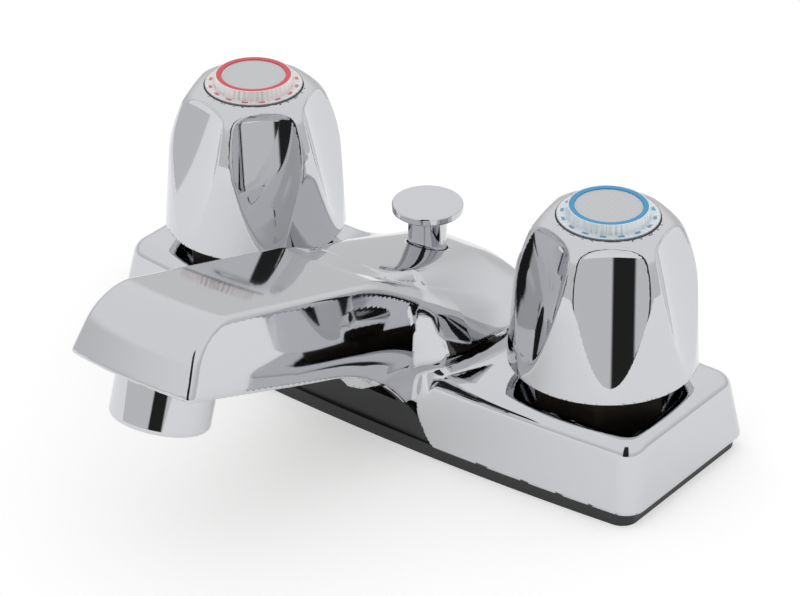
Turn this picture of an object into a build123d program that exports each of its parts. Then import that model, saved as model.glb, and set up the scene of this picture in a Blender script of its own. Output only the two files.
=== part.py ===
from build123d import *
import math
import os

# Centerset bathroom faucet. All lengths are millimetres and all angles degrees.
# X runs towards the cold handle, Y towards the wall and Z up; z = 0 is the top of the sink deck.

# Layout
valve_centres = 101.6          # the four-inch standard between the two valves
running_gap = 0.3              # between pieces that move past each other
fit_gap = 0.1                  # between pieces that locate each other
close_gap = 0.05               # between glued, threaded or pressed pieces
beyond = 10.0                  # how far a cutter runs past what it cuts

# Base plate
plate_length = 148.6
plate_depth = 45.4
plate_thick = 3.3
plate_bow = 4.2                # how far the front swells out at the middle
plate_corner = 4.0
upstand_thick = 1.8
upstand_back = 0.8             # behind the plate's front edge
upstand_gap = 0.5              # from the upstand to the edge of the arch

# Cover: base, hump and spout in one casting
cover_wall = 2.4
cover_overhang = 0.7           # cover over plate, front and back
cover_end_overhang = 1.7       # and at the ends
deck_height = 20.0
cover_inset = 3.2              # how far the front and back lean in by the deck
cover_end_inset = 2.2
cover_corner = 4.4
deck_edge_round = 3.0
crown_height = 36.2            # top of the hump above the lift rod
crown_slope = 0.30             # rise of the spout's top for each millimetre forward
crown_fall_start = 8.0         # behind this the hump falls away
crown_fall = 0.020
crown_camber = 0.5             # bulge of the hump's top at the back
hump_back_foot = 36.0          # half width of the hump at the back
hump_back_flat = 7.0
hump_back_lean = 13.0          # fall of its side where it leaves the top, back and front
hump_front_lean = 80.0
hump_shoulder = 4.2            # from the spout's side to the flat top in front
hump_fullness = 0.45           # share of a side's length that its curve runs straight at each end
hump_toe_rise = 0.02
hump_foot_growth = 0.5         # power by which its foot widens from the front wall to the back
hollow_foot_growth = 1.2       # and that of the hollow inside it
hump_back = 15.6               # where the hump has its full width, behind the valve line
hump_stub = 14.0               # how far it reaches ahead of the front wall, inside the spout
hump_stub_sink = 0.05          # how much that stub sinks for each millimetre forward
hump_stations = 9
hump_sink = 0.2                # how far its foot lies below the deck
hump_back_round = 3.0          # edge between its top and the leaning back wall
flare_low = 24.0               # half widths of the arch where it meets the plate and the spout
flare_mid = 19.6
flare_mid_height = 9.0
flare_overlap = 0.6            # how far the flare reaches past the arch and into the plate
flare_top_inset = 1.0          # from the spout's side to the flare's upper end

# Spout
spout_half = 17.2              # half width at the front wall, level with the top of the arch
spout_splay = 0.015            # how much each side widens for each millimetre forward
spout_draft = 4.4              # lean of each side
spout_merge = 4.0              # how far ahead of the front wall its own top begins
spout_root_drop = 14.0         # how far its top sinks inside the hump
arch_top = 11.0                # height of the arch where it leaves the front wall
arch_bend = 55.3               # where the arch straightens, forward of the valve line
arch_rise = 0.386              # rise of the underside for each millimetre forward of the bend
tip_reach = 104.4              # foot of the tip's front face, forward of the valve line
tip_low = 50.5                 # height of that foot
tip_radius = 60.0              # the front face is a slanted barrel of this radius
tip_lean = 29.5
tip_round = 9.0
spout_edge_round = 2.4

# Handle
skirt_radius = 21.7
skirt_height = 25.4
handle_mid_radius = 20.75
handle_mid_height = 41.0
shoulder_radius = 18.6
shoulder_height = 54.0
brow_radius = 14.6
brow_height = 60.7
handle_top = 61.6
handle_rim = 0.3               # from the button to the start of the handle's round
handle_wall = 1.9
flute_count = 6
flute_radius = 19.5
flute_top = 61.3               # upper end of a flute's floor
flute_top_floor = 12.9         # distance of the floor from the axis there
flute_lean = 14.5              # lean of the floor, which runs out through the wall near the foot
flute_end_round = 3.0
hot_turn = -41.0               # a flute of each closed handle faces this way round from +X
cold_turn = -51.0
hub_radius = 7.4
hub_foot = 30.0
web_thick = 4.0
screw_pocket_radius = 5.2
button_shoulder = 0.5          # slope of the button's boss
hollow_step = 31.0             # where the hollow of the skirt starts to narrow

# Index button
button_radius = 11.6
button_seat = 58.4
button_rim_top = 61.8
button_top = 64.0
button_boss_radius = 9.1
button_wall = 1.1
ring_outer = 8.75
ring_inner = 7.65
ring_thick = 0.7
insert_thick = 0.5

# Valve
boss_radius = 12.5
boss_top = 24.0
boss_bore = 9.0
valve_floor = 7.0
seat_floor = 4.5
cartridge_bore = 6.8
cartridge_neck = 20.5
cartridge_port = 2.4
stem_neck_radius = 5.0
stem_square = 7.0
stem_square_foot = 36.0
stem_top = 50.0
stem_lift = 2.0                # room for the seat below the plug
port_height = 5.0
groove_height = 2.0
groove_below_neck = 2.6
seat_radius = 4.0
seat_bore = 2.0
seat_height = 2.4
seat_gap = 0.2
spring_wire = 0.5
spring_turns = 3
oring_section = 0.7
oring_squeeze_room = 0.1
bonnet_flats = 28.0
bonnet_top = 28.2
screw_radius = 1.8
screw_head_radius = 4.0
screw_head_height = 2.2
screw_head_round = 0.8
screw_slot = 1.0               # its width, and its depth
screw_foot = 39.0

# Waterway
shank_radius = 10.4            # half-inch pipe thread
shank_bore = 6.0
shank_length = 46.0
inlet_bore = 1.6
cross_radius = 5.5
cross_bore = 3.5
cross_back = 8.0               # cross tube forward of the rod line
cross_height = 10.5
tube_radius = 5.5
tube_knee = (36.0, 36.0)       # forward and up, where the spout tube straightens
tube_bend = 26.0

# Aerator, measured along its own leaning axis from its lower face
aerator_reach = 93.0
aerator_low = 34.5
aerator_lean = 18.0
aerator_radius = 11.1
aerator_length = 13.5
aerator_lip_radius = 8.8
aerator_lip = 1.2
aerator_round = 1.2
screen_thick = 0.8
insert_height = 3.6
insert_hole = 0.8
insert_holes = 12
insert_hole_circle = 6.0
washer_thick = 1.6
nipple_radius = 9.9
nipple_top = 16.5
nipple_bore = 7.6
outlet_neck_radius = 7.0
outlet_neck_top = 25.0
outlet_wall = 2.0
outlet_tube_level = 20.0

# Lift rod
rod_back = 1.2
rod_radius = 2.0
rod_plate_gap = 1.0            # round the rod in the base plate
rod_foot = -95.0
rod_top = 42.7
knob_radius = 8.3
knob_top = 46.7
knob_thick = 2.0
knob_neck_radius = 4.5
knob_neck_foot = 27.0
knob_round = 0.5

# Under the sink deck
sink_deck = 20.0
washer_radius = 17.0
shank_washer_thick = 2.5
nut_flats = 28.0
nut_height = 7.0

insert_top = button_top - ring_thick + insert_thick
half_centres = valve_centres / 2
cover_length = plate_length + 2 * cover_end_overhang
cover_depth = plate_depth + 2 * cover_overhang
front_wall = cover_depth / 2 + plate_bow
deck_inner = deck_height - cover_wall
tip_corner = tip_radius - math.sqrt(tip_radius ** 2 - spout_half ** 2)
arch_bend_height = tip_low - arch_rise * (tip_reach - tip_corner - arch_bend)


def crown(y):
    """Height of the hump and spout along the middle line."""
    behind = max(0.0, y - crown_fall_start)
    return crown_height - crown_slope * y - crown_fall * behind ** 2


spout_tall = crown(-tip_reach) + beyond


def footprint(length, depth, bow, corner):
    """Outline with a straight back, straight ends and a front that swells out."""
    end, back = length / 2, depth / 2
    frame = Polyline((-end, -back), (-end, back), (end, back), (end, -back))
    front = ThreePointArc((end, -back), (0, -back - bow), (-end, -back))
    face = make_face(frame + front)
    return fillet(face.vertices(), corner)


def drafted_block(low, high, inset):
    """Block between two heights whose walls lean in, smaller by inset on every side."""
    layers = []
    for z in (low, high):
        rise = (z - plate_thick) / (deck_height - plate_thick)
        length = cover_length - 2 * (inset + cover_end_inset * rise)
        depth = cover_depth - 2 * (inset + cover_inset * rise)
        layers.append(Pos(0, 0, z) * footprint(length, depth, plate_bow, cover_corner - inset / 2))
    return loft(layers)


def flank(y, z):
    """Half width of the spout at a place along it and a height."""
    draft = math.tan(math.radians(spout_draft))
    return spout_half - spout_splay * (y + front_wall) - draft * (z - arch_top)


def hump_section(y, inset):
    """Bell-shaped section across the hump: narrow and steep in front, broad and gentle behind."""
    share = min(1.0, max(0.0, (y + front_wall) / (front_wall + hump_back)))
    ease = share * share * (3 - 2 * share)
    top = crown(y) - inset - hump_stub_sink * max(0.0, -front_wall - y)
    low = deck_height - inset - hump_sink
    flat = (1 - ease) * (flank(y, top) - hump_shoulder) + ease * hump_back_flat - inset / 2
    spread = share ** (hollow_foot_growth if inset else hump_foot_growth)
    foot = (1 - spread) * (flank(y, low) - hump_sink) + spread * hump_back_foot - inset
    lean = math.radians((1 - ease) * hump_front_lean + ease * hump_back_lean)
    reach = hump_fullness * math.hypot(foot - flat, top - low)
    knee = (flat + reach * math.cos(lean), top - reach * math.sin(lean))
    toe = (foot - hump_fullness * (foot - flat), low + hump_toe_rise * (top - low))
    right = Bezier((flat, top), knee, toe, (foot, low))
    left = Bezier((-foot, low), (-toe[0], toe[1]), (-knee[0], knee[1]), (-flat, top))
    crown_arc = ThreePointArc((-flat, top), (0, top + hump_stub_sink + crown_camber * ease), (flat, top))
    under = Polyline((foot, low), (foot, low - beyond), (-foot, low - beyond), (-foot, low))
    face = make_face(left + crown_arc + right + under)
    return Plane(origin=(0, y, 0), x_dir=(1, 0, 0), z_dir=(0, -1, 0)) * face


def hump(inset):
    """Hump lofted through its sections, between the leaning back wall and the arch of the spout."""
    first, last = -front_wall - hump_stub, cover_depth / 2 + beyond / 2
    step = (last - first) / (hump_stations - 1)
    bell = loft([hump_section(first + step * i, inset) for i in range(hump_stations)])
    roof = crown_height + 2 * beyond
    over = Polyline(
        (-front_wall, arch_top), (-cross_back, arch_top), (-cross_back, roof),
        (-arch_bend, roof), (-arch_bend, arch_bend_height))
    front = extrude(Plane.YZ * make_face(over + arch_curve()), amount=2 * spout_half, both=True)
    return bell & (drafted_block(plate_thick, roof, inset) + (front & spout_walls(hump_sink)))


def rounded_hump():
    """Outer hump with the edge over its back wall rounded."""
    form = hump(0)
    back = [e for e in form.edges() if e.center().Y > hump_back and e.center().Z > deck_height + 1]
    return form.fillet(hump_back_round, back)


def arch_curve():
    """Bend of the arch from the straight underside of the spout to the front wall."""
    return TangentArc((-arch_bend, arch_bend_height), (-front_wall, arch_top), tangent=(1, -arch_rise))


def spout_side_view(inset):
    """Side view of the spout: sloping top, room for the tip and, unless it is a hollow, the arch."""
    root, merge, end = -cross_back, -front_wall - spout_merge, -tip_reach - beyond
    top = [(root, crown(root) - spout_root_drop), (merge, crown(merge)), (end, crown(end))]
    top = [(y, z - inset) for y, z in top]
    if inset:
        return make_face(Polyline(*top, (end, 0), (root, 0), top[0]))
    end_low = arch_bend_height + arch_rise * (-end - arch_bend)
    bend = (-arch_bend, arch_bend_height)
    over = Polyline((-front_wall, arch_top), (root, arch_top), *top, (end, end_low), bend)
    return make_face(over + arch_curve())


def spout_plan(z, inset):
    """Plan of the spout at a height, smaller by inset on each side."""
    end = -tip_reach - beyond
    root, tip = flank(0, z) - inset, flank(end, z) - inset
    return make_face(Polyline((root, 0), (tip, end), (-tip, end), (-root, 0), (root, 0)))


def spout_walls(inset):
    """Everything between the spout's two leaning sides."""
    return loft([Pos(0, 0, z) * spout_plan(z, inset) for z in (-1, spout_tall)])


def spout(inset):
    """Spout as the meeting of its leaning sides, its side view and its barrel-shaped tip."""
    side = extrude(Plane.YZ * spout_side_view(inset), amount=2 * spout_half, both=True)
    lean = math.tan(math.radians(tip_lean))
    foot_radius = tip_radius - inset + lean * tip_low
    top_radius = foot_radius - lean * spout_tall
    barrel = Pos(0, tip_radius - tip_reach, spout_tall / 2) * Cone(foot_radius, top_radius, spout_tall)
    form = side & spout_walls(inset) & barrel
    brow = form.edges().sort_by(Axis.Z)[-1]
    return form.fillet(tip_round - inset, [brow])


def rounded_spout():
    """Outer spout with its top edges and its front corners rounded."""
    form = spout(0)
    for end in (0, -1):
        side = form.faces().sort_by(Axis.X)[end]
        middle = (tip_low + arch_bend_height) / 2
        ahead = [e for e in side.edges() if e.center().Y < -front_wall]
        rim = [e for e in ahead if e.center().Z > middle + spout_merge]
        form = form.fillet(spout_edge_round, rim)
    return form


def body_shell():
    """Chromed cover: base block, hump and spout fused, then hollowed and pierced."""
    block = drafted_block(plate_thick, deck_height, 0)
    block = fillet(block.faces().sort_by(Axis.Z)[-1].edges(), deck_edge_round)
    form = block + rounded_spout() + rounded_hump()
    hollow = drafted_block(0, deck_inner, cover_wall) + hump(cover_wall) + spout(cover_wall)
    flare = extrude(Plane.XZ.offset(front_wall - beyond / 2) * arch_flare(0), amount=beyond)
    holes = Pos(0, rod_back, 0) * disc(knob_neck_radius + running_gap, 0, knob_top + beyond)
    for side in (-1, 1):
        valve_hole = disc(boss_radius + running_gap, deck_height - beyond, deck_height + beyond)
        holes += Pos(side * half_centres, 0, 0) * valve_hole
    return form - hollow - flare - holes


def arch_flare(gap):
    """Mouth of the arch in the front wall, opening towards the plate, smaller by gap all round."""
    low, top = plate_thick - flare_overlap, arch_top + flare_overlap - gap
    half = spout_half - flare_top_inset - gap
    right = Spline((half, top), (flare_mid - gap, flare_mid_height - gap), (flare_low - gap, low))
    left = Spline((gap - flare_low, low), (gap - flare_mid, flare_mid_height - gap), (-half, top))
    rest = Line((-half, top), (half, top)) + Line((flare_low - gap, low), (gap - flare_low, low))
    return make_face(right + left + rest)


def base_plate():
    """Moulded plate with holes for the shanks and rod, and the upstand that fills the arch."""
    plate = extrude(footprint(plate_length, plate_depth, plate_bow, plate_corner), amount=plate_thick)
    for side in (-1, 1):
        plate -= Pos(side * half_centres, 0, 0) * Cylinder(shank_radius + running_gap, 2 * beyond)
    plate -= Pos(0, rod_back, 0) * Cylinder(rod_radius + rod_plate_gap, 2 * beyond)
    front = plate_depth / 2 + plate_bow - upstand_back
    return plate + extrude(Plane.XZ.offset(front) * arch_flare(upstand_gap), amount=-upstand_thick)


def turned(points):
    """Solid of revolution about Z from (radius, height) points."""
    outline = make_face(Plane.XZ * Polyline(*points, points[0]))
    return revolve(outline, Axis.Z)


def ring(outer, inner, low, high):
    """Plain ring about Z between two heights."""
    tall = high - low
    place = Pos(0, 0, low + tall / 2)
    return place * (Cylinder(outer, tall) - Cylinder(inner, tall))


def disc(radius, low, high):
    """Plain disc about Z between two heights."""
    return Pos(0, 0, (low + high) / 2) * Cylinder(radius, high - low)


def hexagon(flats, low, high):
    """Six-sided block about Z between two heights."""
    return extrude(Pos(0, 0, low) * RegularPolygon(flats / 2, 6, major_radius=False), high - low)


def flute_cutter():
    """Leaning round-ended cutter whose side forms a flute's floor."""
    length = 2 * (flute_top - skirt_height)
    bar = Pos(0, 0, -length / 2) * Cylinder(flute_radius, length)
    bar = bar.fillet(flute_end_round, [bar.edges().sort_by(Axis.Z)[-1]])
    return Pos(flute_top_floor, 0, flute_top) * Rot(0, -flute_lean, 0) * Pos(flute_radius, 0, 0) * bar


def square_bar(side):
    """Square end of the stem, or the hole for it in the hub."""
    tall = stem_top - stem_square_foot
    return Pos(0, 0, stem_square_foot + tall / 2) * Box(side, side, tall)


def flute_floor(z):
    """Distance of a flute's floor from the handle's axis at a height."""
    return flute_top_floor + (flute_top - z) * math.tan(math.radians(flute_lean))


def handle():
    """Fluted handle, hollow below, with a hub on the stem and a seat for the button."""
    foot = (skirt_radius, skirt_height)
    middle = (handle_mid_radius, handle_mid_height)
    shoulder = (shoulder_radius, shoulder_height)
    brow = (brow_radius, brow_height)
    lip = (button_radius + handle_rim, handle_top)
    wall = Spline(foot, middle, shoulder, brow, lip)
    outline = wall + Polyline(lip, (0, handle_top), (0, skirt_height), foot)
    form = revolve(make_face(Plane.XZ * outline), Axis.Z)
    for i in range(flute_count):
        form -= Rot(0, 0, 360 / flute_count * i) * flute_cutter()
    web_top = button_seat - screw_head_height
    web_foot = web_top - web_thick
    form -= turned([
        (0, skirt_height), (skirt_radius - handle_wall, skirt_height),
        (flute_floor(hollow_step) - handle_wall, hollow_step),
        (flute_floor(web_foot) - handle_wall, web_foot), (hub_radius, web_foot),
        (hub_radius, hub_foot), (0, hub_foot)])
    form -= disc(button_radius + fit_gap, button_seat, handle_top)
    form -= disc(screw_pocket_radius, web_top, button_seat)
    form -= disc(screw_radius + fit_gap, hub_foot, web_top)
    form -= disc(stem_neck_radius + fit_gap, hub_foot, stem_square_foot)
    return form - square_bar(stem_square + 2 * fit_gap)


def button():
    """Clear index button: a cup with a raised boss and a recess for ring and insert."""
    inner = button_boss_radius - button_wall
    form = turned([
        (0, button_seat), (button_radius, button_seat), (button_radius, button_rim_top),
        (button_boss_radius + button_shoulder, button_rim_top),
        (button_boss_radius, button_top), (0, button_top)])
    form -= disc(inner, button_seat, button_top - ring_thick - button_wall)
    return form - disc(ring_outer + close_gap, button_top - ring_thick, button_top)


def handle_screw():
    """Slotted screw that pulls the handle down on the stem."""
    seat = button_seat - screw_head_height
    head = disc(screw_head_radius, seat, button_seat - fit_gap)
    head = fillet(head.edges().sort_by(Axis.Z)[-1], screw_head_round)
    head -= Pos(0, 0, button_seat) * Box(2 * screw_head_radius, screw_slot, 2 * screw_slot)
    return head + disc(screw_radius, screw_foot, seat)


def stem():
    """Valve stem: ported plug, round neck and square end."""
    plug_foot = valve_floor + stem_lift
    plug = disc(cartridge_bore - fit_gap, plug_foot, cartridge_neck - running_gap)
    neck = disc(stem_neck_radius, cartridge_neck - running_gap, stem_square_foot)
    form = plug + neck + square_bar(stem_square)
    form -= disc(screw_radius + close_gap, screw_foot - 1, stem_top)
    port = Box(cartridge_bore, 2 * cartridge_bore, port_height)
    port = Pos(0, -cartridge_bore, plug_foot + port_height / 2) * port
    groove_floor = cartridge_bore - 2 * oring_section - oring_squeeze_room
    half = groove_height / 2
    groove = ring(cartridge_bore, groove_floor, oring_level() - half, oring_level() + half)
    return form - port - groove


def oring_level():
    """Height of the stem seal, near the top of the plug."""
    return cartridge_neck - groove_below_neck


def stem_oring():
    """Round seal in the stem's groove."""
    return Pos(0, 0, oring_level()) * Torus(cartridge_bore - oring_section - close_gap, oring_section)


def cartridge():
    """Fixed sleeve round the stem with a port on each side."""
    sleeve = ring(boss_bore - fit_gap, cartridge_bore, valve_floor, cartridge_neck)
    neck = ring(boss_bore - fit_gap, stem_neck_radius + fit_gap, cartridge_neck, boss_top)
    port = Pos(0, 0, cross_height) * Rot(90, 0, 0) * Cylinder(cartridge_port, 3 * boss_bore)
    return sleeve + neck - port


def bonnet_nut():
    """Hexagon nut over the boss that clamps cartridge and cover."""
    blank = hexagon(bonnet_flats, deck_height, bonnet_top)
    blank -= disc(boss_radius + fit_gap, deck_height, boss_top)
    return blank - disc(stem_neck_radius + running_gap, boss_top, bonnet_top)


def seat():
    """Rubber cup that the spring holds against the stem."""
    top = valve_floor + stem_lift - running_gap
    return ring(seat_radius, seat_bore, top - seat_height, top)


def seat_spring():
    """Small spring below the seat."""
    top = valve_floor + stem_lift - running_gap - seat_height
    pitch = (top - seat_floor - spring_wire) / spring_turns
    radius = seat_radius - spring_wire
    coil = Helix(pitch, pitch * spring_turns, radius)
    wire = Plane(origin=coil @ 0, z_dir=coil % 0) * Circle(spring_wire / 2)
    return Pos(0, 0, seat_floor + spring_wire / 2) * sweep(wire, coil, is_frenet=True)


def aerator_frame():
    """Place of the aerator: origin at its lower face, axis leaning back as it rises."""
    return Pos(0, -aerator_reach, aerator_low) * Rot(-aerator_lean, 0, 0)


def aerator_levels():
    """Heights along the aerator of the lip, screen, insert and washer."""
    lip = aerator_lip
    screen = lip + screen_thick
    insert = screen + insert_height
    return lip, screen, insert, insert + washer_thick


def aerator_housing():
    """Chromed sleeve with a lip that carries the screen and insert."""
    lip = aerator_levels()[0]
    form = disc(aerator_radius, 0, aerator_length)
    form = fillet(form.edges().sort_by(Axis.Z)[0], aerator_round)
    form -= disc(aerator_lip_radius, 0, lip)
    return aerator_frame() * (form - disc(nipple_radius + fit_gap, lip, aerator_length))


def aerator_screen():
    """Screen disc on the lip."""
    lip, screen = aerator_levels()[:2]
    return aerator_frame() * disc(nipple_radius, lip, screen)


def aerator_insert():
    """Flow insert with a ring of holes."""
    screen, insert = aerator_levels()[1:3]
    form = disc(nipple_radius, screen, insert)
    for i in range(insert_holes):
        hole = Pos(insert_hole_circle, 0, (screen + insert) / 2) * Cylinder(insert_hole, insert_height)
        form -= Rot(0, 0, 360 / insert_holes * i) * hole
    return aerator_frame() * form


def aerator_washer():
    """Rubber washer that the outlet presses on the insert."""
    insert, washer = aerator_levels()[2:]
    return aerator_frame() * ring(nipple_radius, nipple_bore, insert, washer)


def waterway():
    """Brass casting: valve bosses on shanks, cross tube, spout tube and outlet nipple."""
    washer = aerator_levels()[3]
    outlet = aerator_frame() * Pos(0, 0, outlet_tube_level)
    start = (0, -cross_back, cross_height)
    knee = (0, -tube_knee[0], tube_knee[1])
    path = FilletPolyline(start, knee, tuple(outlet.position), radius=tube_bend)
    mouth = Plane(origin=path @ 0, z_dir=path % 0)
    cross = Pos(*start) * Rot(0, 90, 0)
    body = cross * Cylinder(cross_radius, valve_centres) + Pos(*start) * Sphere(tube_radius)
    body += sweep(mouth * Circle(tube_radius), path)
    nipple = disc(nipple_radius, washer, nipple_top)
    neck = disc(outlet_neck_radius, nipple_top, outlet_neck_top)
    body += aerator_frame() * (nipple + neck)
    bores = cross * Cylinder(cross_bore, valve_centres - 2 * boss_bore)
    bores += sweep(mouth * Circle(cross_bore), path)
    mouth_top, neck_roof = nipple_top - outlet_wall, outlet_neck_top - outlet_wall
    outlet_bore = disc(nipple_bore, washer, mouth_top)
    outlet_bore += disc(outlet_neck_radius - outlet_wall, mouth_top, neck_roof)
    bores += aerator_frame() * outlet_bore
    for side in (-1, 1):
        valve = Pos(side * half_centres, 0, 0)
        body += valve * disc(boss_radius, plate_thick, boss_top)
        body += valve * disc(shank_radius, -shank_length, plate_thick)
        bores += valve * valve_bores()
    return body - bores


def valve_bores():
    """Bore of a valve boss, the recess for its seat, the port and the inlet in the shank."""
    room = disc(boss_bore, valve_floor, boss_top)
    recess = disc(seat_radius + seat_gap, seat_floor, valve_floor)
    port = disc(inlet_bore, 0, seat_floor)
    return room + recess + port + disc(shank_bore, -shank_length, 0)


def lift_knob():
    """Flat knob with a neck that slides in the cover."""
    cap = disc(knob_radius, knob_top - knob_thick, knob_top)
    cap = fillet(cap.edges(), knob_round)
    form = cap + disc(knob_neck_radius, knob_neck_foot, knob_top - knob_thick)
    return Pos(0, rod_back, 0) * (form - disc(rod_radius + close_gap, knob_neck_foot, rod_top))


def lift_rod():
    """Rod below the knob."""
    return Pos(0, rod_back, 0) * disc(rod_radius, rod_foot, rod_top)


def shank_washers():
    """Washers under the sink deck, one on each shank."""
    one = ring(washer_radius, shank_radius + fit_gap, -sink_deck - shank_washer_thick, -sink_deck)
    return Compound([Pos(side * half_centres, 0, 0) * one for side in (-1, 1)])


def shank_nuts():
    """Hexagon mounting nuts below the washers."""
    top = -sink_deck - shank_washer_thick
    one = hexagon(nut_flats, top - nut_height, top) - disc(shank_radius + fit_gap, top - nut_height, top)
    return Compound([Pos(side * half_centres, 0, 0) * one for side in (-1, 1)])


def turning_pieces():
    """Pieces that turn with a handle, built about Z with a flute facing +X."""
    return {
        "handle": handle(),
        "button": button(),
        "ring": ring(ring_outer, ring_inner, button_top - ring_thick, button_top),
        "insert": disc(ring_inner - close_gap, button_top - ring_thick, insert_top),
        "handle_screw": handle_screw(),
        "stem": stem(),
        "stem_oring": stem_oring(),
    }


def fixed_pieces():
    """Pieces of a valve that stay still, built about Z."""
    return {
        "cartridge": cartridge(),
        "bonnet_nut": bonnet_nut(),
        "seat": seat(),
        "seat_spring": seat_spring(),
    }


def build():
    """Every piece of the faucet by its node name."""
    pieces = {
        "body_shell": body_shell(),
        "base_plate": base_plate(),
        "waterway": waterway(),
        "aerator_housing": aerator_housing(),
        "aerator_screen": aerator_screen(),
        "aerator_insert": aerator_insert(),
        "aerator_washer": aerator_washer(),
        "lift_knob": lift_knob(),
        "lift_rod": lift_rod(),
        "shank_washers": shank_washers(),
        "shank_nuts": shank_nuts(),
    }
    for side, x, turn in (("hot_", -half_centres, hot_turn), ("cold_", half_centres, cold_turn)):
        for name, piece in turning_pieces().items():
            pieces[side + name] = Pos(x, 0, 0) * Rot(0, 0, turn) * piece
        for name, piece in fixed_pieces().items():
            pieces[side + name] = Pos(x, 0, 0) * piece
    return pieces


os.makedirs("parts", exist_ok=True)
for name, piece in build().items():
    export_step(piece, "parts/" + name + ".step")
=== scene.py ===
import bpy
import numpy as np
from mathutils import Matrix


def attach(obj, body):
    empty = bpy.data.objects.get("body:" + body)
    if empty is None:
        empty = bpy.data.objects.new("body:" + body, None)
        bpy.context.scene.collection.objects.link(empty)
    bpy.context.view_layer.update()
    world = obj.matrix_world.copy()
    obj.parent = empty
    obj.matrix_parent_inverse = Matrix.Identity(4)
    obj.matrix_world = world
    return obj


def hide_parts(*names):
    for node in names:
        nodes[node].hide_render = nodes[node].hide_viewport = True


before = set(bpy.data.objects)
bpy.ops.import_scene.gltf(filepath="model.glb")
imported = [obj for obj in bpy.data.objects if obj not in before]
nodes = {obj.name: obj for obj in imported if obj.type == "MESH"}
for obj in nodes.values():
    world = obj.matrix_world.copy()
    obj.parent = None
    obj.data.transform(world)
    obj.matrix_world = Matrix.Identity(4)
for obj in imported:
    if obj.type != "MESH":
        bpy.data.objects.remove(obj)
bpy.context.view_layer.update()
mm = 0.001

# Body: the cover, cast in zinc as one piece with the hump and the spout, polished and chromed.
# It is a hollow shell, open below; its flanks are scooped out where the spout leaves the hump.
# Polished zinc is never dead flat, so the plating keeps a faint long wave.
valve = 50.8                                # half the distance between the two valves
plate_top = 3.3
deck = 20.0
wall = 2.4
body_end = 76.0                             # half sizes of the cover at its foot
body_back = 23.4
body_bow = 4.2
end_inset = 2.2                             # how far the ends and the sides lean in by the deck
side_inset = 3.2
body_corner = 4.4
deck_round = 3.0
hump_top = 36.2
crown_slope = 0.30
crown_fall = 0.02                           # how fast the hump's line bends down behind fall_start
fall_start = 8.0
hump_flat = (12.0, 5.0)                     # half width of the hump's top in front, and what it loses behind
hump_foot = (17.0, 19.0)                    # half width of its foot in front, and what it gains behind
hump_soft = 2.5
hump_lean = np.tan(np.radians(13))          # slope where the hump's top starts to fall
spout_half = 14.45                          # half width below the rounded top edge
spout_front_wall = 27.6
hump_reach = 43.2                           # from the front wall back to where the hump is at its widest
spout_draft = np.tan(np.radians(12.0))
draft_start = 2.0                           # below the top, where the flanks start to lean
draft_reach = (2.1, 3.5)                    # how far the lean goes at the tip, and at most by the hump
draft_gain = 0.035
draft_soft = 1.2
neck_half = 13.0                            # the cover's front wall gives way to the spout within this
neck_back = 8.0
neck_front = 45.0
merge = -25.0                               # the spout's top sinks into the hump from here back to the root
root = -4.0
root_sink = 14.0
sink_soft = 6.0
arch_bend = (-55.3, 32.52)
arch_rise = 0.366
arch_radius = 60.85
tip_reach = 104.0
tip_low = 50.5
tip_radius = 60.0
tip_lean = np.tan(np.radians(29.5))
edge_round = 1.6
edge_growth = 3.0                           # what the top edge's radius gains by the hump
edge_start = 42.0
edge_length = 18.0
arch_round = 0.9
flare_start = 44.0                          # the flanks start to flare this far forward of the valves
flare_length = 30.0
flare_growth = 0.006
flare_low = 17.0
flare_rise = 8.0
brow_round = 9.0
fillet_least = 0.1                          # hollow fillet between spout and hump, at the top
fillet_low = 0.8
fillet_scoop = 8.0
mouth_half = (17.3, 6.7)                    # arch in the front wall: half width at its top, gain at its foot
mouth_top = 12.0
mouth_bend = 11.6                           # where its sides start to spread, and over what height
mouth_spread = 9.3
mouth_place = 26.0
mouth_depth = 4.5
mouth_round = 0.9
rod_back = 1.2
rod_hole = 4.8
valve_hole = 12.8
valve_hole_foot = 10.0
cut_round = 0.4
body_step = 0.7                             # spacing of the body's mesh


def smooth_step(t):
    """0 below 0, 1 above 1 and an S-shaped cubic between."""
    t = np.clip(t, 0, 1)
    return t * t * (3 - 2 * t)


def meet(a, b, r):
    """Distance to what lies inside both a and b, with their shared edge rounded by r."""
    return np.minimum(np.maximum(a, b), -r) + np.hypot(np.maximum(a + r, 0), np.maximum(b + r, 0))


def join(a, b, r):
    """Distance to what lies inside a or b, with a hollow fillet r where they meet."""
    return np.maximum(np.minimum(a, b), r) - np.hypot(np.maximum(r - a, 0), np.maximum(r - b, 0))


def crown(y):
    """Height of the hump and the spout along the middle line: a slope that falls away at the back."""
    return hump_top - crown_slope * y - crown_fall * np.maximum(y - fall_start, 0) ** 2


def body_plan(y):
    """Share of the way from the front wall to where the hump has its full width."""
    return np.clip((y + spout_front_wall) / hump_reach, 0, 1)


def deck_level(x, y):
    """Height of the deck and hump: across the hump a bell, steep in front and gentle at the back."""
    share = body_plan(y)
    ease = smooth_step(share)
    flat = hump_flat[0] - hump_flat[1] * ease
    foot = hump_foot[0] + hump_foot[1] * np.sqrt(share)
    past = np.abs(x) - flat
    past = (past + np.sqrt(past ** 2 + hump_soft ** 2)) / 2
    along = np.clip(past / (foot - flat), 0, 1)
    tall = np.maximum(crown(y) - deck, 0.1)
    start = -hump_lean * (foot - flat) / tall
    bell = (1 - along) ** 2 * (1 + 2 * along) + start * along * (1 - along) ** 2
    return deck + tall * np.clip(bell, 0, 1)


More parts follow.
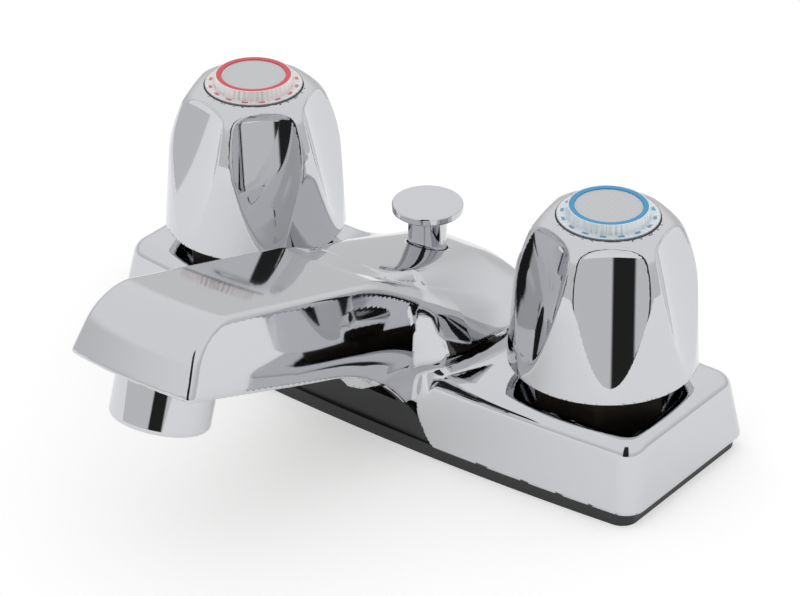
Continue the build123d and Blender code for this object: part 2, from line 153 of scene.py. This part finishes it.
def under_arch(y, z):
    """Distance below the spout's underside: straight ahead of the bend, round behind it."""
    slope = np.hypot(1, arch_rise)
    ahead, down = 1 / slope, arch_rise / slope
    dy, dz = y - arch_bend[0], z - arch_bend[1]
    straight = -dy * down - dz * ahead
    middle = (arch_bend[0] - down * arch_radius, arch_bend[1] - ahead * arch_radius)
    bend = arch_radius - np.hypot(y - middle[0], z - middle[1])
    return np.where(dy * ahead - dz * down < 0, straight, bend)


def flank(x, y, z):
    """Distance outside the spout's sides: they lean in near the top, stand upright lower down, and above
    the deck they flare towards the hump."""
    lean = spout_draft * (crown(y) - draft_start - z)
    limit = np.clip(draft_reach[0] - draft_gain * (y + spout_front_wall), *draft_reach)
    half = spout_half + lean - 0.5 * (lean - limit + np.hypot(lean - limit, draft_soft))
    back = np.clip(y + flare_start, 0, flare_length)
    share = smooth_step((z - flare_low) / flare_rise)
    flare = flare_growth * back ** 2 * share
    return (np.abs(x) - half - flare) / np.hypot(1, 2 * flare_growth * back * share)


def block(x, y, z, inset):
    """Base and hump: walls that lean in, a bowed front, rounded corners and the deck with the hump."""
    rise = (z - plate_top) / (deck - plate_top)
    end = body_end - end_inset * rise
    side = body_back - side_inset * rise
    front = -y - side - body_bow * (1 - (x / end) ** 2)
    walls = meet(np.abs(x) - end, np.maximum(y - side, front) * 0.98, body_corner)
    neck = np.maximum(np.abs(x) - neck_half, y + neck_back)
    neck = np.maximum(neck, np.maximum(under_arch(y, z), -y - neck_front))
    h = 0.05
    level = deck_level(x, y)
    slope_x = (deck_level(x + h, y) - level) / h
    slope_y = (deck_level(x, y + h) - level) / h
    over = (z - level) / np.sqrt(1 + slope_x ** 2 + slope_y ** 2)
    return meet(np.minimum(walls, neck), over, deck_round) + inset


def spout(x, y, z, inset):
    """Spout: leaning flanks, a sloping top, a barrel-shaped front face and an arched underside. The factors
    0.958 and 0.870 are the cosines of the top's and the front's slope, which make heights distances."""
    root_slope = (crown(root) - root_sink - crown(merge)) / (root - merge)
    sink = (z - crown(merge) - root_slope * (y - merge)) / np.hypot(1, root_slope)
    top = meet((z - crown(y)) * 0.958, sink, sink_soft)
    front = np.hypot(x, y + tip_reach - tip_radius) - tip_radius - tip_lean * (tip_low - z)
    soft = edge_round + edge_growth * smooth_step((y + edge_start) / edge_length)
    form = meet(flank(x, y, z), meet(top, front * 0.870, brow_round), soft)
    form = np.maximum(form, y - root)
    if inset:
        return form + inset
    return meet(form, under_arch(y, z), arch_round)


def body_distance(x, y, z):
    """Distance to the cover's metal: outer form less the same form one wall in, the mouth and the holes."""
    scoop = smooth_step((crown(y) - z - 1) / 8) * smooth_step((z - deck + 1) / 5)
    below_top = smooth_step((crown(y) - z - 3) / 4)
    fillet = fillet_least + fillet_low * below_top + fillet_scoop * scoop
    outer = join(block(x, y, z, 0), spout(x, y, z, 0), fillet)
    inner = np.minimum(block(x, y, z, wall), spout(x, y, z, wall))
    metal = meet(outer, -inner, cut_round)
    spread = (np.clip(mouth_bend - z, 0, mouth_spread) / mouth_spread) ** 1.6
    mouth = np.maximum(np.abs(x) - mouth_half[0] - mouth_half[1] * spread, z - mouth_top)
    mouth = np.maximum(mouth, np.abs(y + mouth_place) - mouth_depth)
    metal = meet(metal, -mouth, mouth_round)
    metal = meet(metal, rod_hole - np.hypot(x, y - rod_back), cut_round)
    valve_room = np.maximum(np.hypot(np.abs(x) - valve, y) - valve_hole, valve_hole_foot - z)
    metal = meet(metal, -valve_room, cut_round)
    return meet(metal, plate_top - z, cut_round)


def distance_slope(distance, p):
    """Direction in which the distance grows fastest, from differences over a twentieth of a millimetre."""
    h = 0.05
    slope = np.empty_like(p)
    for axis in range(3):
        step = np.zeros(3)
        step[axis] = h
        ahead, behind = p + step, p - step
        slope[:, axis] = (distance(*ahead.T) - distance(*behind.T)) / (2 * h)
    return slope


def skin(distance, low, high, step):
    """Mesh of the surface where the distance is zero: one point in each cell that the surface crosses,
    pulled onto it along the distance's slope, and one quad round each grid edge that it crosses."""
    axes = [np.arange(a, b + step, step) for a, b in zip(low, high)]
    field = distance(*np.meshgrid(*axes, indexing="ij"))
    inside = field < 0
    cells = np.zeros(np.array(inside.shape) - 1, int)
    for i in (0, 1):
        for j in (0, 1):
            for k in (0, 1):
                cells += inside[i:i + cells.shape[0], j:j + cells.shape[1], k:k + cells.shape[2]]
    crossed = (cells > 0) & (cells < 8)
    point_of = np.full(cells.shape, -1)
    point_of[crossed] = np.arange(crossed.sum())
    points = np.array(low) + (np.argwhere(crossed) + 0.5) * step
    for _ in range(6):
        slope = distance_slope(distance, points)
        size = np.maximum((slope ** 2).sum(1), 0.05)
        move = distance(*points.T)[:, None] * slope / size[:, None]
        points -= np.clip(move, -step, step)
    quads = []
    for axis in range(3):
        other = [a for a in range(3) if a != axis]
        here = np.moveaxis(inside, axis, 0)
        change = here[:-1] != here[1:]
        change = np.moveaxis(change, 0, axis)
        places = np.argwhere(change)
        keep = (places[:, other] > 0).all(1) & (places[:, other] < np.array(cells.shape)[other]).all(1)
        places = places[keep]
        corners = []
        for a, b in ((0, 0), (1, 0), (1, 1), (0, 1)):
            cell = places.copy()
            cell[:, other[0]] -= a
            cell[:, other[1]] -= b
            corners.append(point_of[tuple(cell.T)])
        quad = np.stack(corners, 1)
        outward = inside[tuple(places.T)]
        if axis == 1:
            outward = ~outward
        quad[~outward] = quad[~outward][:, ::-1]
        quads.append(quad)
    return points, np.concatenate(quads), distance_slope(distance, points)


def make_piece(name, points, faces, normals=None):
    """Mesh object from points in millimetres, smooth, with its own normals where they are given."""
    mesh = bpy.data.meshes.new(name)
    mesh.from_pydata((points * mm).tolist(), [], faces.tolist())
    mesh.validate()
    mesh.polygons.foreach_set("use_smooth", np.ones(len(mesh.polygons), bool))
    if normals is not None:
        unit = normals / np.linalg.norm(normals, axis=1)[:, None]
        mesh.normals_split_custom_set_from_vertices(unit.tolist())
    piece = bpy.data.objects.new(name, mesh)
    bpy.context.collection.objects.link(piece)
    return piece


def linear(code):
    """Linear colour from an sRGB hex code."""
    part = np.array([int(code[i:i + 2], 16) for i in (1, 3, 5)]) / 255
    low, high = part / 12.92, ((part + 0.055) / 1.055) ** 2.4
    return (*np.where(part <= 0.04045, low, high), 1.0)


def add_node(tree, kind, links=(), **settings):
    """Node of that kind with its settings, its input values and its links set by name."""
    made = tree.nodes.new(kind)
    for name, value in settings.items():
        setattr(made, name, value)
    for name, value in dict(links).items():
        if isinstance(value, bpy.types.NodeSocket):
            tree.links.new(value, made.inputs[name])
        else:
            made.inputs[name].default_value = value
    return made


def new_material(name, **values):
    """Node material with one shader, wired to the output; values are the shader's inputs."""
    material = bpy.data.materials.new(name)
    material.use_nodes = True
    tree = material.node_tree
    tree.nodes.clear()
    shader = add_node(tree, "ShaderNodeBsdfPrincipled")
    for key, value in values.items():
        shader.inputs[key.replace("_", " ")].default_value = value
    add_node(tree, "ShaderNodeOutputMaterial", {"Surface": shader.outputs["BSDF"]})
    return material, tree, shader


def grain(tree, shader, size_mm, height_mm, strength=0.3, detail=2.0):
    """Fine bumps of that size and height on the surface."""
    where = add_node(tree, "ShaderNodeTexCoord")
    noise = add_node(tree, "ShaderNodeTexNoise",
                     {"Vector": where.outputs["Object"], "Scale": 1000 / size_mm, "Detail": detail})
    bump = add_node(tree, "ShaderNodeBump",
                    {"Height": noise.outputs["Fac"], "Strength": strength, "Distance": height_mm * mm})
    tree.links.new(bump.outputs["Normal"], shader.inputs["Normal"])


def chrome_plate(name, roughness, wave):
    """Bright chrome over a polished casting: a mirror with a faint wave about 12 mm long."""
    material, tree, shader = new_material(name, Metallic=1.0, Roughness=roughness)
    shader.inputs["Base Color"].default_value = linear("#CBCCCF")
    grain(tree, shader, 12, 0.4, wave, 0.0)
    return material


body_chrome = chrome_plate("cast_chrome", 0.045, 0.03)
low_corner = (-78.4, -106.4, 1.6)
high_corner = (78.4, 25.9, 71.6)
points, faces, normals = skin(body_distance, low_corner, high_corner, body_step)
body = make_piece("faucet_body", points, faces, normals)
body.data.materials.append(body_chrome)
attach(body, "fixture")
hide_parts("body_shell")

# Handles: cast and chromed like the body, with six flutes that run out near the foot and end in an
# arch below the button. Their edges are crisp; the hollow below takes the hub that sits on the stem.
foot_radius = 21.7
foot_height = 25.4
handle_top = 61.6
brow = 4.0
flute_radius = 19.5
flute_head = (12.9, 61.3)
flute_lean = np.radians(14.5)
flute_end = 3.0
flute_edge = 0.35
side_taper = 0.061                          # draw-in of the side for each millimetre up
crown_start = 44.0                          # above this height the side draws in faster
crown_growth = 0.0135
flute_floor = 1.9                           # metal left behind a flute
button_hole = (11.7, 58.4)
handle_hollow = (19.8, 52.2)
hub = (7.4, 5.1, 30.0, 50.0)
handle_step = 0.5


def handle_distance(x, y, z):
    """Distance to a handle about its own axis with a flute facing +X: a body that draws in towards the
    top, less six leaning cylinders, the hollow below, the hub's bore and the hole for the button."""
    out = np.hypot(x, y)
    above = np.maximum(z - crown_start, 0)
    swell = foot_radius - side_taper * (z - foot_height) - crown_growth * above ** 2
    side = (out - swell) / np.sqrt(1 + (side_taper + 2 * crown_growth * above) ** 2)
    form = meet(side, z - handle_top, brow)
    turn = np.mod(np.arctan2(y, x) + np.pi / 6, np.pi / 3) - np.pi / 6
    ahead, aside, down = out * np.cos(turn) - flute_head[0], out * np.sin(turn), z - flute_head[1]
    across = ahead * np.cos(flute_lean) + down * np.sin(flute_lean)
    along = down * np.cos(flute_lean) - ahead * np.sin(flute_lean)
    flute = meet(np.hypot(across - flute_radius, aside) - flute_radius, along, flute_end)
    form = meet(form, -flute, flute_edge)
    floor_out = flute_head[0] + (flute_head[1] - z) * np.tan(flute_lean) - flute_floor
    hollow = np.maximum(out - np.minimum(handle_hollow[0], floor_out), z - handle_hollow[1])
    hollow = np.maximum(hollow, np.minimum(hub[0] - out, z - hub[2]))
    form = meet(form, -hollow, 0.3)
    form = meet(form, -np.maximum(out - hub[1], z - hub[3]), 0.3)
    form = meet(form, -np.maximum(out - button_hole[0], button_hole[1] - z), 0.2)
    return meet(form, foot_height - z, 0.3)


handle_chrome = chrome_plate("handle_chrome", 0.04, 0.02)
low_corner = (-22.5, -22.5, 24.4)
high_corner = (22.5, 22.5, 62.9)
points, faces, normals = skin(handle_distance, low_corner, high_corner, handle_step)
for name, offset, turn in (("hot", -valve, -41.0), ("cold", valve, -51.0)):
    spin = np.radians(turn)
    turned = np.array(((np.cos(spin), np.sin(spin), 0), (-np.sin(spin), np.cos(spin), 0), (0, 0, 1)))
    handle = make_piece(name + "_knob", points @ turned + (offset, 0, 0), faces, normals @ turned)
    handle.data.materials.append(handle_chrome)
    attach(handle, name + "_valve")
    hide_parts(name + "_handle")


def dress(material, *names):
    """Gives the CAD pieces of those names the material."""
    for name in names:
        piece = nodes[name]
        piece.data.materials.clear()
        piece.data.materials.append(material)


def both(*names):
    """The hot and the cold piece of each name."""
    return [side + name for side in ("hot_", "cold_") for name in names]


# Aerator and lift knob: turned brass under the same bright chrome, so truer and smoother than the casting.
turned_chrome = chrome_plate("turned_chrome", 0.035, 0.0)
dress(turned_chrome, "aerator_housing", "lift_knob")

# Base plate: black plastic moulding with a satin skin.
material, tree, shader = new_material("black_moulding", Roughness=0.42)
shader.inputs["Base Color"].default_value = linear("#1D1E20")
grain(tree, shader, 0.4, 0.02)
dress(material, "base_plate")

def number(tree, operation, first, second=0.0):
    """Result of one sum."""
    return add_node(tree, "ShaderNodeMath", {0: first, 1: second}, operation=operation).outputs["Value"]


def step_between(tree, value, low, high, start=0.0, end=1.0):
    """S-shaped step from start to end between two values."""
    return add_node(tree, "ShaderNodeMapRange", {
        "Value": value, "From Min": low, "From Max": high, "To Min": start, "To Max": end},
        interpolation_type="SMOOTHSTEP").outputs["Result"]


def colour_mix(tree, share, first, second):
    """Blend from the first colour to the second."""
    return add_node(tree, "ShaderNodeMix", {"Factor": share, "A": first, "B": second},
                    data_type="RGBA").outputs["Result"]


# Index buttons: clear acrylic, moulded with fine ribs below and sixteen small dashes that catch the ring's
# colour. The pocket below gleams through the plastic, so the skin is partly metallic under a clear coat.
dash_band = (9.8, 10.8)
rim_edge = 11.3
acrylics = (("hot_", -valve, "#ECE6E7", "#CF5A66"), ("cold_", valve, "#E3EAEE", "#3C9CC6"))
for side, place, tint, dash_colour in acrylics:
    material, tree, shader = new_material(side + "clear_acrylic", Metallic=0.45, Roughness=0.3, IOR=1.49)
    shader.inputs["Coat Weight"].default_value = 1.0
    where = add_node(tree, "ShaderNodeTexCoord")
    centred = add_node(tree, "ShaderNodeMapping", {
        "Vector": where.outputs["Object"], "Location": (-place * mm, 0, 0), "Scale": (1, 1, 0)})
    flat = add_node(tree, "ShaderNodeSeparateXYZ", {"Vector": centred.outputs["Vector"]})
    out = add_node(tree, "ShaderNodeVectorMath", {0: centred.outputs["Vector"]}, operation="LENGTH")
    out = out.outputs["Value"]
    turn = number(tree, "ARCTAN2", flat.outputs["Y"], flat.outputs["X"])
    ribs = number(tree, "SINE", number(tree, "MULTIPLY", turn, 48.0))
    dashes = step_between(tree, number(tree, "SINE", number(tree, "MULTIPLY", turn, 16.0)), 0.2, 0.5)
    inner = step_between(tree, out, dash_band[0] * mm, (dash_band[0] + 0.2) * mm)
    outer = step_between(tree, out, (dash_band[1] - 0.2) * mm, dash_band[1] * mm, 1.0, 0.0)
    dashes = number(tree, "MULTIPLY", dashes, number(tree, "MULTIPLY", inner, outer))
    rim = step_between(tree, out, rim_edge * mm, (rim_edge + 0.25) * mm)
    colour = colour_mix(tree, dashes, linear(tint), linear(dash_colour))
    colour = colour_mix(tree, rim, colour, linear("#74777B"))
    tree.links.new(colour, shader.inputs["Base Color"])
    bump = add_node(tree, "ShaderNodeBump", {"Height": ribs, "Strength": 0.5, "Distance": 0.15 * mm})
    tree.links.new(bump.outputs["Normal"], shader.inputs["Normal"])
    dress(material, side + "button")

# Rings: printed red and blue under a hard gloss.
for side, colour in (("hot_", "#D83A45"), ("cold_", "#1E95C8")):
    material, tree, shader = new_material(side + "index_ring", Roughness=0.25)
    shader.inputs["Base Color"].default_value = linear(colour)
    dress(material, side + "ring")

# Inserts: silver foil discs with a fine crossed weave, half a millimetre from thread to thread.
material, tree, shader = new_material("silver_weave", Metallic=0.25, Roughness=0.45)
where = add_node(tree, "ShaderNodeTexCoord")
threads = []
for direction in ("X", "Y"):
    turned_where = add_node(tree, "ShaderNodeMapping",
                            {"Vector": where.outputs["Object"], "Rotation": (0, 0, 0.6)})
    threads.append(add_node(tree, "ShaderNodeTexWave",
                            {"Vector": turned_where.outputs["Vector"], "Scale": 620.0},
                            bands_direction=direction))
weave = add_node(tree, "ShaderNodeMath", {0: threads[0].outputs["Fac"], 1: threads[1].outputs["Fac"]},
                 operation="MULTIPLY")
tone = add_node(tree, "ShaderNodeMix", {"Factor": weave.outputs["Value"]}, data_type="RGBA")
tone.inputs["A"].default_value = linear("#B9BBBE")
tone.inputs["B"].default_value = linear("#EEEFF0")
tree.links.new(tone.outputs["Result"], shader.inputs["Base Color"])
dress(material, *both("insert"))

# Valves and waterway: brass, cast with a rough skin and turned where the nuts and stems are.
material, tree, shader = new_material("cast_brass", Metallic=1.0, Roughness=0.38)
shader.inputs["Base Color"].default_value = linear("#8C7443")
grain(tree, shader, 0.8, 0.05)
dress(material, "waterway")
material, tree, shader = new_material("turned_brass", Metallic=1.0, Roughness=0.22)
shader.inputs["Base Color"].default_value = linear("#8A6F3C")
dress(material, "shank_nuts", *both("stem"))
# Bonnet nuts: brass painted very dark, a painted shade for the shadow the handles cast on them.
material, tree, shader = new_material("brass_painted_shade", Metallic=0.8, Roughness=0.45)
shader.inputs["Base Color"].default_value = linear("#2C2720")
dress(material, *both("bonnet_nut"))

# Small parts: stainless wire and screws, black rubber, ivory and white mouldings, the woven screen.
material, tree, shader = new_material("plain_steel", Metallic=1.0, Roughness=0.3)
shader.inputs["Base Color"].default_value = linear("#C2C2C2")
dress(material, "lift_rod", "aerator_screen", *both("seat_spring", "handle_screw"))
material, tree, shader = new_material("black_rubber", Roughness=0.6)
shader.inputs["Base Color"].default_value = linear("#1B1B1B")
dress(material, "aerator_washer", *both("seat", "stem_oring"))
material, tree, shader = new_material("ivory_moulding", Roughness=0.45)
shader.inputs["Base Color"].default_value = linear("#D8D2BE")
dress(material, *both("cartridge"))
material, tree, shader = new_material("grey_moulding", Roughness=0.4)
shader.inputs["Base Color"].default_value = linear("#C9CCCE")
dress(material, "aerator_insert")
material, tree, shader = new_material("white_moulding", Roughness=0.45)
shader.inputs["Base Color"].default_value = linear("#DCDCD8")
dress(material, "shank_washers")

# Floor: a white table just wide enough for the view, kept white by a little light of its own.
floor_radius = 0.42
angles = np.linspace(0, 2 * np.pi, 97)[:-1]
rim = np.stack((floor_radius * np.cos(angles), floor_radius * np.sin(angles), 0 * angles), 1)
floor_mesh = bpy.data.meshes.new("floor")
floor_mesh.from_pydata(rim.tolist(), [], [tuple(range(len(rim)))])
floor = bpy.data.objects.new("floor", floor_mesh)
bpy.context.collection.objects.link(floor)
floor_material, tree, shader = new_material("white_table", Roughness=0.9)
shader.inputs["Base Color"].default_value = (0.70, 0.70, 0.70, 1)
shader.inputs["Emission Color"].default_value = (1, 1, 1, 1)
shader.inputs["Emission Strength"].default_value = 0.42
shader.inputs["Specular IOR Level"].default_value = 0.0
floor_mesh.materials.append(floor_material)

# Light: a white tent, dimmer at the far horizon, brighter overhead, with one tall black card beside the lens.
world = bpy.data.worlds.new("tent")
bpy.context.scene.world = world
world.use_nodes = True
tree = world.node_tree
tree.nodes.clear()
direction = add_node(tree, "ShaderNodeTexCoord")
axes = add_node(tree, "ShaderNodeSeparateXYZ", {"Vector": direction.outputs["Generated"]})

forward = number(tree, "MULTIPLY", axes.outputs["Y"], -1.0)
bearing = number(tree, "DEGREES", number(tree, "ARCTAN2", axes.outputs["X"], forward))
height = number(tree, "DEGREES", number(tree, "ARCSINE", axes.outputs["Z"]))
tent = step_between(tree, height, 6.0, 26.0, 0.74, 0.98)
card = number(tree, "MULTIPLY", step_between(tree, bearing, 13.0, 17.0),
              step_between(tree, bearing, 41.0, 45.0, 1.0, 0.0))
card = number(tree, "MULTIPLY", card, step_between(tree, height, -26.0, -20.0))
card = number(tree, "MULTIPLY", card, step_between(tree, height, 55.0, 62.0, 1.0, 0.0))
bright = number(tree, "MULTIPLY", tent, number(tree, "SUBTRACT", 1.0, number(tree, "MULTIPLY", card, 0.97)))
path = add_node(tree, "ShaderNodeLightPath")
seen = add_node(tree, "ShaderNodeMix", {"Factor": path.outputs["Is Camera Ray"], "A": bright, "B": 1.0})
background = add_node(tree, "ShaderNodeBackground", {"Color": seen.outputs["Result"], "Strength": 1.0})
add_node(tree, "ShaderNodeOutputWorld", {"Surface": background.outputs["Background"]})

# Camera: where the photograph was taken from, found from the valves' distance and the level rims.
azimuth, elevation, roll = np.radians((37.61, 30.70, 0.37))
distance = 822.0 * mm
aim = np.array((-6.94, 0, 18.99)) * mm
level_back = np.array((np.sin(azimuth), -np.cos(azimuth), 0)) * np.cos(elevation)
back = level_back + (0, 0, np.sin(elevation))
right = np.array((np.cos(azimuth), np.sin(azimuth), 0))
up = np.cross(back, right)
turned_right = np.cos(roll) * right + np.sin(roll) * up
turned_up = -np.sin(roll) * right + np.cos(roll) * up
camera_data = bpy.data.cameras.new("camera")
camera = bpy.data.objects.new("camera", camera_data)
camera_data.sensor_width = 36
camera_data.lens = 157.5
camera_data.clip_start = 0.05
rotation = Matrix((turned_right, turned_up, back)).transposed().to_4x4()
camera.matrix_world = Matrix.Translation(aim + distance * back) @ rotation
bpy.context.collection.objects.link(camera)
bpy.context.scene.camera = camera
bpy.context.scene.view_settings.view_transform = "Standard"
